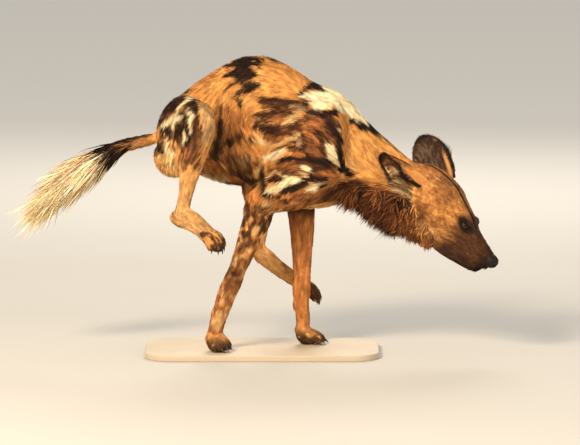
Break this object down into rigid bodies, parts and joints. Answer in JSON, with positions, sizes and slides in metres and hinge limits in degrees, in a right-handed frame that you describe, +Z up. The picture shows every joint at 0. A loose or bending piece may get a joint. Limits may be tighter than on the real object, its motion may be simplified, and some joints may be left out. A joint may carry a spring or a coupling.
{
  "type": "african wild dog",
  "caption": "African wild dog, life size, marking scent with its hind legs lifted, arched back, low head and white tail brush, on a flat display base.",
  "frame": {"origin": "centre of the display base's underside", "axes": "+X towards the dog's nose along the base, +Y towards the dog's left side, +Z up"},
  "size_m": [1.159, 0.4287, 0.7194],
  "materials": {
    "coat": "short patchy fur of tan, black-brown and cream",
    "paw": "short dark fur over the toes",
    "ear": "short dark fur, pale hair inside",
    "tail_tip": "long white hair behind a black band",
    "nose": "fine-grained damp skin",
    "eye": "wet dark brown",
    "claw": "horn, satin",
    "base": "sand-coloured satin paint on board"
  },
  "bodies": {
    "root": {"torso": "coat", "neck": "coat", "head": "coat", "nose_pad": "nose", "eye_right": "eye", "eye_left": "eye", "ear_right": "ear", "ear_left": "ear", "upper_foreleg_right": "coat", "lower_foreleg_right": "coat", "thigh_right": "coat", "shank_right": "coat", "upper_foreleg_left": "coat", "lower_foreleg_left": "coat", "thigh_left": "coat", "shank_left": "coat", "forepaw_right": "paw", "claw_forepaw_right_1": "claw", "claw_forepaw_right_2": "claw", "claw_forepaw_right_3": "claw", "claw_forepaw_right_4": "claw", "hindfoot_right": "paw", "claw_hindfoot_right_1": "claw", "claw_hindfoot_right_2": "claw", "claw_hindfoot_right_3": "claw", "claw_hindfoot_right_4": "claw", "forepaw_left": "paw", "claw_forepaw_left_1": "claw", "claw_forepaw_left_2": "claw", "claw_forepaw_left_3": "claw", "claw_forepaw_left_4": "claw", "hindfoot_left": "paw", "claw_hindfoot_left_1": "claw", "claw_hindfoot_left_2": "claw", "claw_hindfoot_left_3": "claw", "claw_hindfoot_left_4": "claw", "tail_root": "coat", "tail_brush": "tail_tip", "stand_base": "base"}
  },
  "joints": []
}
